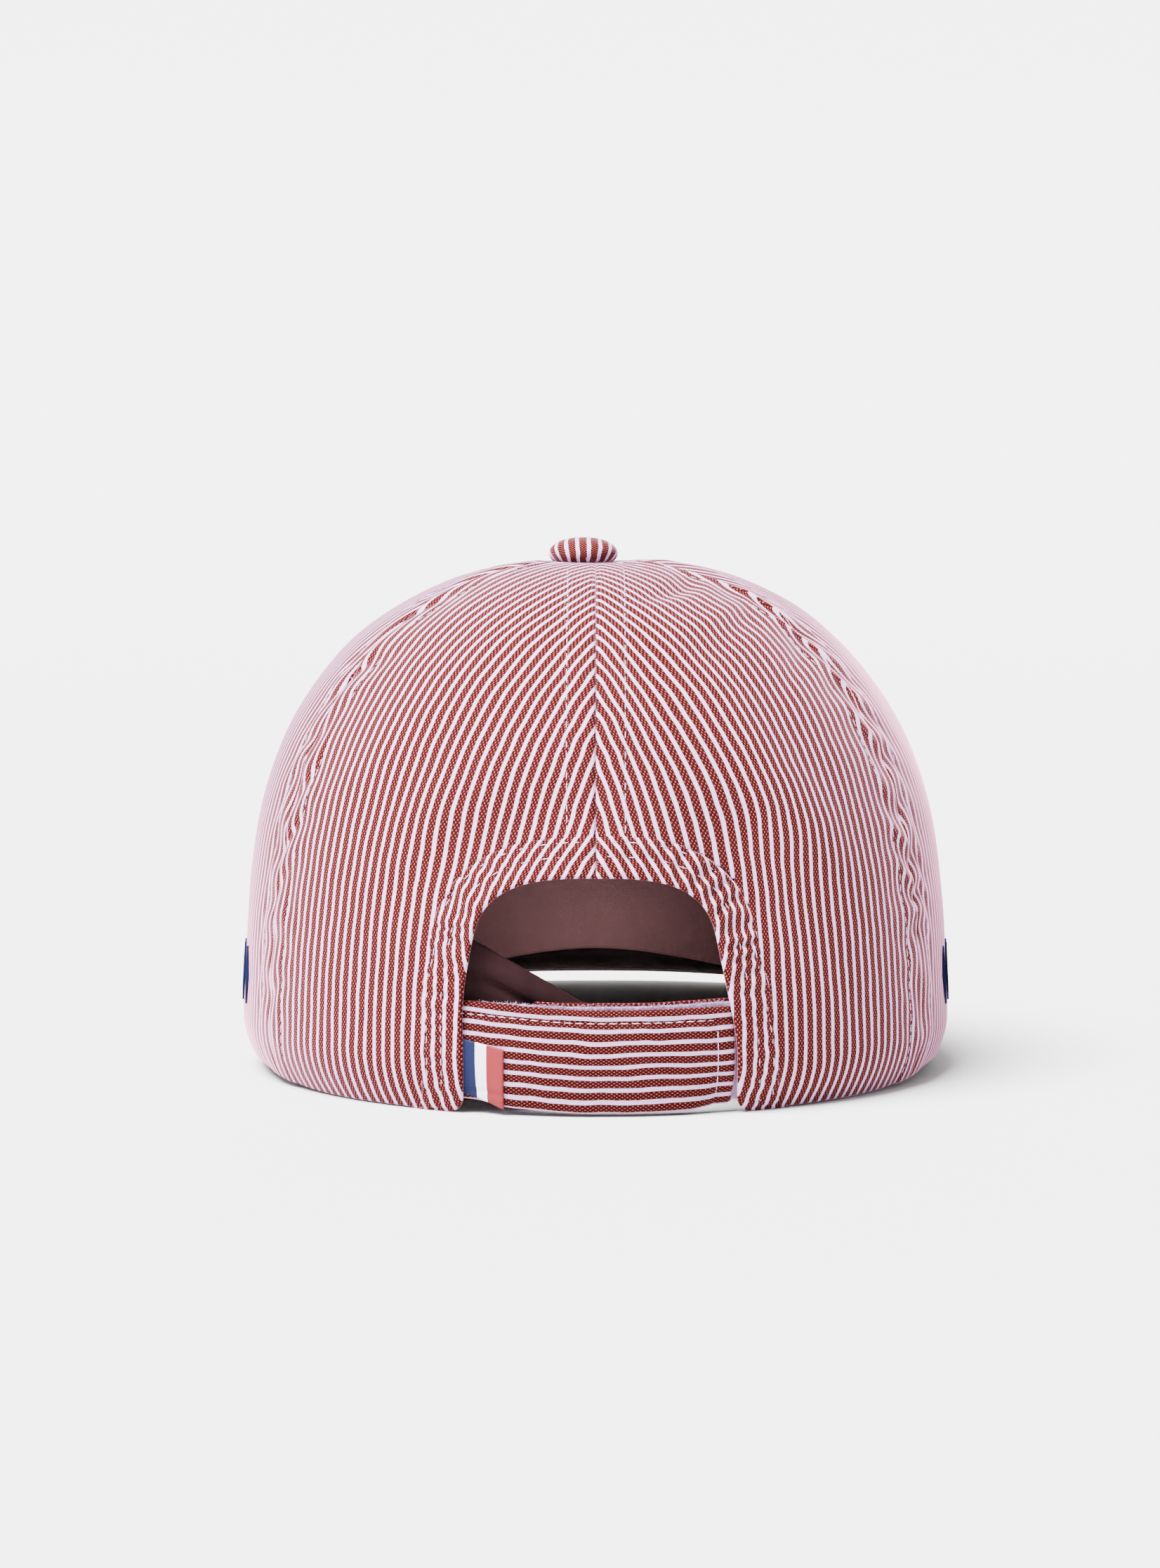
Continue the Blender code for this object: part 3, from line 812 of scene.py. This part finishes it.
def band_depth(angle):
    """How deep inside the crown the band lies: it leaves room for the straps at the back."""
    if math.cos(angle) < 0:
        return BAND_DEPTH
    x = abs(plan_radius(angle) * math.sin(angle))
    layers = 1 - ease(x, HALF_OPENING + 2 * STRAP_TUCK, HALF_OPENING + 4 * STRAP_TUCK)
    layers += ease(HALF_OPENING - x, -STRAP_TUCK / 2, STRAP_TUCK / 2)
    return BAND_DEPTH + LAYER * layers


def lay_band(bm):
    right_end = back_angle(HALF_OPENING + STRAP_TUCK * 0.75)
    tail_end = 2 * math.pi + back_angle(BAND_TAIL_END)

    def place(angle, row):
        x = (angle - 2 * math.pi) * CROWN_BACK
        height = BAND_HEIGHT + BAND_TAIL_RISE * ease(x, 2 * BAND_TAIL_START, BAND_TAIL_START)
        height -= BAND_TAIL_SLOPE * max(0.0, x - BAND_TAIL_START)
        up = row * height
        from_top = height - up
        bound = 0.9 * MM * hump(from_top - BOUND_EDGE / 2, BOUND_EDGE * 0.45)
        bound -= 1.3 * MM * hump(from_top - BOUND_EDGE - 0.8 * MM, 0.9 * MM)
        pleats = 0.35 * MM * noise.noise(Vector((angle * 60, up / (25 * MM), 2)))
        smooth = smooth_point(angle, rim_height(angle) + BAND_FOOT + up)
        normal = crown_normal(angle, rim_height(angle) + BAND_FOOT + up)
        lift = bound + pleats * ease(up, 4 * MM, 14 * MM)
        lift -= BAND_TAIL_FALL * ease(x, -HALF_OPENING - STRAP_TUCK, 0)
        point = smooth + normal * (lift - band_depth(angle))
        return point, (angle * plan_radius(angle), from_top)

    columns = spread(right_end, tail_end, 1.6 * MM / (CROWN_WIDTH / 2))
    lay_cloth(bm, columns, spread(0, 1, 1 / 42), place)
    uv = cloth_map(bm)
    for face in bm.faces:
        # Painted shade: the whole tail behind the opening takes the dark binding cloth. Along the rest of
        # the band, only the bound top edge is real binding.
        in_shaded_tail = face.loops[0][uv].uv.x > 2 * math.pi * CROWN_BACK - 2 * HALF_OPENING
        if in_shaded_tail or min(loop[uv].uv.y for loop in face.loops) < BOUND_EDGE:
            face.material_index = 2


bm = bmesh.new()
lay_band(bm)
band = add_piece("sweatband_twill", bm, MAROON_TWILL, ["sweatband"])
band.data.materials.append(MAUVE_TWILL)
# The brown binding of the top edge, also laid over the tail as painted shade.
band.data.materials.append(twill_cloth("cotton_binding_brown_and_tail_shade", "#301c1e", "#231416"))
thicken(band, BAND_WALL)
band.modifiers["wall"].material_offset = 1

# The closing straps: the outer one is striped cotton folded double and stitched round, sewn under
# the left of the opening. It is pressed onto the lilac loop pile of the strap from the right.
STRAP_WIDTH = 23.3 * MM
STRAP_WALL = 1.2 * MM
STRAP_DEPTH = 1.75 * MM
STRAP_END = HALF_OPENING + 2.0 * MM
STRAP_STITCH = 3.0 * MM
STRAP_END_ROW = STRAP_END - 4.2 * MM
STRAP_STRIPES = STRIPE_PITCH / 2.65
PILE_TOP = 24.6 * MM
PILE_FOOT = 0.6 * MM


def strap_foot(x):
    """The height of the outer strap's lower edge: its left end is sewn in a little higher."""
    return 0.6 * MM + 1.6 * MM * ease(-x, 0, 34 * MM) + 0.2 * MM * ease(x, 8 * MM, 30 * MM)


def on_back(x, height, depth):
    """A point on the smooth back of the crown, below its cloth."""
    angle = back_angle(x)
    return smooth_point(angle, height) - crown_normal(angle, height) * depth, crown_normal(angle, height)


def strap_point(x, up):
    """A point of the outer strap: it bows a little between its stitch rows and has soft waves."""
    bow = 0.5 * MM * math.sin(math.pi * min(1.0, max(0.0, up / STRAP_WIDTH)))
    for line in (STRAP_STITCH, STRAP_WIDTH - STRAP_STITCH):
        bow -= 0.25 * MM * hump(up - line, 0.6 * MM)
    bow -= 0.25 * MM * hump(x - STRAP_END_ROW, 0.6 * MM)
    over_tuck = ease(TUCK_HEIGHT - up, 0, TUCK_HEIGHT) ** 2 * ease(HALF_OPENING - abs(x), 0, 12 * MM)
    bow += 2.0 * MM * over_tuck
    wave = 0.35 * MM * noise.noise(Vector((x / (9 * MM), up / (16 * MM), 7)))
    return on_back(x, strap_foot(x) + up, STRAP_DEPTH - bow - wave)


def place_outer(x, up):
    from_edges = (up, up - STRAP_WIDTH, x - STRAP_END)
    rounding = 0.6 * MM * sum(hump(away, 0.5 * MM) for away in from_edges)
    point, normal = strap_point(x, up)
    sway = 0.35 * MM * noise.noise(Vector((x / (12 * MM), up / (30 * MM), 3)))
    return point - normal * rounding, ((up + sway) * STRAP_STRIPES - 0.1 * MM, x)


bm = bmesh.new()
across = spread(-HALF_OPENING - STRAP_TUCK, STRAP_END, 0.7 * MM)
lay_cloth(bm, across, spread(0, STRAP_WIDTH, 0.45 * MM), place_outer)
# The strap's copy of the shirting keeps only this share of its colour and bloom: painted shade, darker
# than the crown's cloth.
STRAP_SHADED_COTTON = striped_cotton("yarn_dyed_cotton_strap_painted_shade", 0.74)
strap = add_piece("strap_outer_cloth", bm, STRAP_SHADED_COTTON, ["strap_outer"])
thicken(strap, STRAP_WALL)

bm = bmesh.new()
for line in (STRAP_STITCH, STRAP_WIDTH - STRAP_STITCH):
    sew(bm, [strap_point(x, line) for x in spread(-HALF_OPENING - 2 * MM, STRAP_END_ROW, MM)])
end_row = spread(STRAP_STITCH, STRAP_WIDTH - STRAP_STITCH, MM)
sew(bm, [strap_point(STRAP_END_ROW, up) for up in end_row])
add_piece("stitches_strap", bm, PALE_THREAD)


def loop_pile():
    """Brushed nylon loop: a mat of fine curled fibres, paler where they stand up."""
    material, tree, shader = new_material("nylon_loop_pile_lilac")
    spot = add_node(tree, "ShaderNodeTexCoord").outputs["Object"]
    mat = {"Vector": spot, "Scale": 2200.0, "Detail": 4.0, "Distortion": 1.2}
    curls = add_node(tree, "ShaderNodeTexNoise", mat).outputs["Fac"]
    tints = {0: curls, 6: linear("#806086"), 7: linear("#c6a4ca")}
    tint = add_node(tree, "ShaderNodeMix", tints, data_type="RGBA")
    tree.links.new(tint.outputs[2], shader.inputs["Base Color"])
    add_relief(tree, shader, curls, 0.8, 0.2 * MM)
    set_finish(shader, 0.9)
    shader.inputs["Sheen Weight"].default_value = 0.1
    return material


LOOP_PILE = loop_pile()


def loop_strap_point(x, up):
    """A point of the under strap's pile, this share of the way up from its lower edge."""
    depth = STRAP_DEPTH + LAYER * (1 - ease(x, STRAP_END, STRAP_END + STRAP_TUCK / 2))
    top = PILE_TOP + 0.5 * MM * ease(abs(x - 3 * MM), 8 * MM, 30 * MM)
    foot = strap_foot(x) + PILE_FOOT
    height = foot + (top - foot) * up
    fuzz = 0.18 * MM * noise.noise(Vector((x / (0.6 * MM), height / (0.6 * MM), 1)))
    return on_back(x, height, depth - fuzz)


def place_pile(x, up):
    return loop_strap_point(x, up)[0], (x, up)


bm = bmesh.new()
loop_start = 2.5 * MM - HALF_OPENING
loop_end = HALF_OPENING + STRAP_TUCK + 2 * MM
lay_cloth(bm, spread(loop_start, loop_end, 0.4 * MM), spread(0, 1, 0.4 * MM / STRAP_WIDTH), place_pile)
under_strap = add_piece("strap_inner_pile", bm, LOOP_PILE, ["strap_inner"])
thicken(under_strap, STRAP_WALL)

EDGE_ROLL = 0.55 * MM
EDGE_START = -14.5 * MM


def place_edge(x, turn):
    """The striped cloth rolled over the under strap's top edge."""
    point, normal = loop_strap_point(x, 1)
    ridge = normal * math.cos(turn) * 0.6 - normal * 1.1 + Vector((0, 0, 0.5 + math.sin(turn)))
    return point + ridge * EDGE_ROLL, (STRIPE_PITCH * MM / 2 + turn * EDGE_ROLL * 0.5, x)


bm = bmesh.new()
roll = spread(-math.pi / 2, math.pi, math.pi / 8)
lay_cloth(bm, spread(EDGE_START, loop_end, 0.4 * MM), roll, place_edge)
add_piece("strap_inner_edge", bm, SHIRTING)

bm = bmesh.new()
FIBRES = 1100
FIBRE = 0.05 * MM
FIBRE_SEED = 7
CURL = one_shape(bmesh.ops.create_cone, segments=3, radius1=1, radius2=0.7, depth=1)
noise.seed_set(FIBRE_SEED)
for _ in range(FIBRES):
    draw = [noise.random() for _ in range(6)]
    x = loop_start + (HALF_OPENING - loop_start) * draw[0]
    point, normal = loop_strap_point(x, 1 - 0.06 * draw[1])
    aside = Vector((draw[2] - 0.5, 0, 0))
    tip = point + (normal * (0.1 + 0.5 * draw[3]) + aside * 0.9 + Vector((0, 0, 0.2 + 0.5 * draw[4]))) * MM
    bend = (point + tip) / 2 + Vector((draw[5] - 0.5, 0, 0.3)) * 0.4 * MM
    for a, b in ((point, bend), (bend, tip)):
        along = b - a
        beside = along.orthogonal().normalized() * FIBRE
        stamp(bm, CURL, (a + b) / 2, beside, along.normalized().cross(beside), along)
add_piece("strap_pile_fibres", bm, LOOP_PILE)

# The woven tab: a folded satin ribbon in three plain bands of colour, caught in the left edge of the
# opening and lying on the strap.
TAG_WIDTH = 9.3 * MM
TAG_HEIGHT = 13 * MM
TAG_RISE = 4.0 * MM
TAG_SLOPE = 2.2 * MM
TAG_TUCK = 0.6 * MM
TAG_WALL = 0.5 * MM


def woven_ribbon():
    material, tree, shader = new_material("polyester_satin_ribbon")
    flat = add_node(tree, "ShaderNodeUVMap", uv_map="UVMap").outputs[0]
    place = add_node(tree, "ShaderNodeSeparateXYZ", {0: flat})
    bands = add_node(tree, "ShaderNodeValToRGB", {0: place.outputs[0]})
    bands.color_ramp.interpolation = "CONSTANT"
    stops = bands.color_ramp.elements
    stops[0].position = 0.0
    stops[0].color = linear("#171c3c")
    stops[1].position = 0.34
    stops[1].color = linear("#eceafa")
    coral = stops.new(0.60)
    coral.color = linear("#76252a")
    size = (TAG_WIDTH / MM, TAG_HEIGHT / MM, 1.0)
    millimetres = add_node(tree, "ShaderNodeVectorMath", {0: flat, 1: size}, operation="MULTIPLY")
    ribs = {"Vector": millimetres.outputs[0], "Scale": 1.2, "Distortion": 0.6}
    twill = add_node(tree, "ShaderNodeTexWave", ribs, bands_direction="DIAGONAL").outputs["Fac"]
    shaded = add_node(tree, "ShaderNodeMapRange", {0: twill, 3: 0.82, 4: 1.06}).outputs[0]
    tint = add_node(tree, "ShaderNodeVectorMath", {0: bands.outputs[0], 3: shaded}, operation="SCALE")
    tree.links.new(tint.outputs[0], shader.inputs["Base Color"])
    add_relief(tree, shader, twill, 0.6, 0.08 * MM)
    set_finish(shader, 0.55, 0.1)
    return material


def place_tag(u, v):
    x = -HALF_OPENING - TAG_TUCK + (TAG_WIDTH + TAG_TUCK) * u
    up = TAG_RISE - TAG_SLOPE * u + TAG_HEIGHT * v - strap_foot(x)
    point, normal = strap_point(x, up)
    curl = 0.35 * MM * ease(u, 0.6, 1) + 0.5 * MM
    return point + normal * curl, (u, v)


bm = bmesh.new()
lay_cloth(bm, spread(0, 1, 1 / 24), spread(0, 1, 1 / 32), place_tag)
tag = add_piece("woven_tab", bm, woven_ribbon(), ["woven_tag"])
thicken(tag, TAG_WALL)

# The button: a small shell covered in the same cotton, which is gathered in under its base, fixed
# over the hole where the panels meet. Its stripes run from the back to the front.
BUTTON_RADIUS = 8.2 * MM
BUTTON_HEIGHT = 6.0 * MM
BUTTON_OFFSET = -3 * MM
BUTTON_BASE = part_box("top_button")[0].z - 0.4 * MM
BUTTON_WAIST = 0.36
GATHERS = 15
GATHER_DEPTH = 0.02

bm = bmesh.new()
uv = cloth_map(bm)
bmesh.ops.create_uvsphere(bm, u_segments=72, v_segments=36, radius=1)
flat = {}
for vert in bm.verts:
    polar = math.acos(max(-1.0, min(1.0, vert.co.z)))
    round_it = math.atan2(vert.co.y, vert.co.x)
    out = math.sin(polar) ** 0.85
    if polar > math.pi / 2:
        out = 0.72 + 0.28 * math.sin(polar) if polar < 0.9 * math.pi else out * 2.3
        out *= 1 + GATHER_DEPTH * math.sin(GATHERS * round_it) * (polar - math.pi / 2)
    rise = 1 - BUTTON_WAIST if polar < math.pi / 2 else BUTTON_WAIST
    up = BUTTON_WAIST + rise * math.cos(polar)
    radius = BUTTON_RADIUS * min(out, 1.0)
    vert.co = (
        BUTTON_OFFSET + radius * math.cos(round_it),
        CROWN_CENTRE_Y + radius * math.sin(round_it),
        BUTTON_BASE + BUTTON_HEIGHT * up,
    )
    wrap = max(0.0, polar - 1.2)
    fan = 1 + 0.16 * wrap + 0.10 * abs(math.cos(round_it)) ** 3
    over = 1.5 * MM * math.cos(round_it) ** 3 * wrap
    across = radius * math.cos(round_it) * fan + over + STRIPE_PITCH * MM / 2
    flat[vert] = (across, BUTTON_RADIUS * polar * math.sin(round_it))
lay_flat(flat, uv)
add_piece("button_cover", bm, SHIRTING, ["top_button"])

# The side embroidery: three plain lozenges in navy satin stitch, worked on each side panel.
NAVY_THREAD = polyester_thread("rayon_thread_navy", "#171b38")
LOZENGE_HALF_WIDTH = 3.4 * MM
LOZENGE_HALF_HEIGHT = 7 * MM
LOZENGE_STEP = 8.6 * MM
LOZENGE_HEIGHT = 23 * MM
LOZENGE_START = math.radians(77)
SATIN_PITCH = 0.34 * MM
SATIN = one_shape(bmesh.ops.create_uvsphere, u_segments=8, v_segments=6, radius=1)

bm = bmesh.new()
for side in (-1, 1):
    for i in range(3):
        centre = LOZENGE_START + i * LOZENGE_STEP / (CROWN_WIDTH / 2)
        for up in spread(-LOZENGE_HALF_HEIGHT, LOZENGE_HALF_HEIGHT, SATIN_PITCH)[1:-1]:
            half = LOZENGE_HALF_WIDTH * (1 - abs(up) / LOZENGE_HALF_HEIGHT)
            height = LOZENGE_HEIGHT + up
            ends = [side * (centre + reach * half / (CROWN_WIDTH / 2)) for reach in (-1, 1)]
            a, b = (crown_point(angle, height) for angle in ends)
            normal = crown_normal(side * centre, height)
            forward = (b - a).normalized()
            aside = normal.cross(forward).normalized()
            middle = (a + b) / 2 + normal * 0.12 * MM
            half_length = max((b - a).length / 2, 0.2 * MM)
            stamp(bm, SATIN, middle, forward * half_length, aside * SATIN_PITCH * 0.62, normal * 0.42 * MM)
add_piece("embroidery_lozenges", bm, NAVY_THREAD)

# The stage: a pale paper floor that sweeps up behind, lit by large soft lamps.
SWEEP_START = 2.0
SWEEP_RADIUS = 3.0
STAGE_FRONT = -3.0
STAGE_HALF_WIDTH = 4.0

bm = bmesh.new()
sweep_end = SWEEP_START + SWEEP_RADIUS * math.pi / 2 + 3
rows = spread(STAGE_FRONT, SWEEP_START, 0.5) + spread(SWEEP_START, sweep_end, 0.1)[1:]


def place_floor(x, along):
    beyond = max(0.0, along - SWEEP_START)
    turn = min(math.pi / 2, beyond / SWEEP_RADIUS)
    up = SWEEP_RADIUS * (1 - math.cos(turn)) + max(0.0, beyond - SWEEP_RADIUS * math.pi / 2)
    return Vector((x, min(along, SWEEP_START) + SWEEP_RADIUS * math.sin(turn), up)), (x, along)


lay_cloth(bm, spread(-STAGE_HALF_WIDTH, STAGE_HALF_WIDTH, 1.0), rows, place_floor)
paper, _, shader = new_material("seamless_paper")
shader.inputs["Base Color"].default_value = linear("#d3d3d3")
set_finish(shader, 0.9, 0.1)
floor = add_object("floor", bm, paper)

world = bpy.data.worlds.new("studio")
world.use_nodes = True
bpy.context.scene.world = world
sky = world.node_tree.nodes["Background"]
sky.inputs["Color"].default_value = linear("#ffffff")
sky.inputs["Strength"].default_value = 0.6

Lamp = namedtuple("Lamp", "name kind place aim size power")
LAMPS = (
    Lamp("overhead", "SUN", (-0.95, -0.72, 2.4), (0, -0.03, 0.05), math.radians(40), 26),
    Lamp("left", "AREA", (-1.7, -0.6, 0.7), (0, -0.03, 0.06), 1.2, 13),
    Lamp("low", "AREA", (0.1, -2.6, 0.22), (0, -0.1, 0.04), 0.5, 25),
)
for lamp in LAMPS:
    light = bpy.data.lights.new(lamp.name, lamp.kind)
    setattr(light, "angle" if lamp.kind == "SUN" else "size", lamp.size)
    light.energy = lamp.power
    holder = bpy.data.objects.new(lamp.name, light)
    holder.location = lamp.place
    holder.rotation_euler = (Vector(lamp.aim) - Vector(lamp.place)).to_track_quat("-Z", "Y").to_euler()
    bpy.context.scene.collection.objects.link(holder)

CAMERA_DISTANCE = 1.2
CAMERA_RISE = math.radians(7.5)
LENS = 114.5
camera = bpy.data.cameras.new("camera")
camera.lens = LENS
camera.sensor_width = 36
viewer = bpy.data.objects.new("camera", camera)
viewer.location = (
    0,
    CROWN_CENTRE_Y - CAMERA_DISTANCE * math.cos(CAMERA_RISE),
    CAMERA_DISTANCE * math.sin(CAMERA_RISE),
)
LOOKS_AT = Vector((-3.8 * MM, CROWN_CENTRE_Y, 66.7 * MM))
viewer.rotation_euler = (LOOKS_AT - viewer.location).to_track_quat("-Z", "Y").to_euler()
bpy.context.scene.collection.objects.link(viewer)
bpy.context.scene.camera = viewer
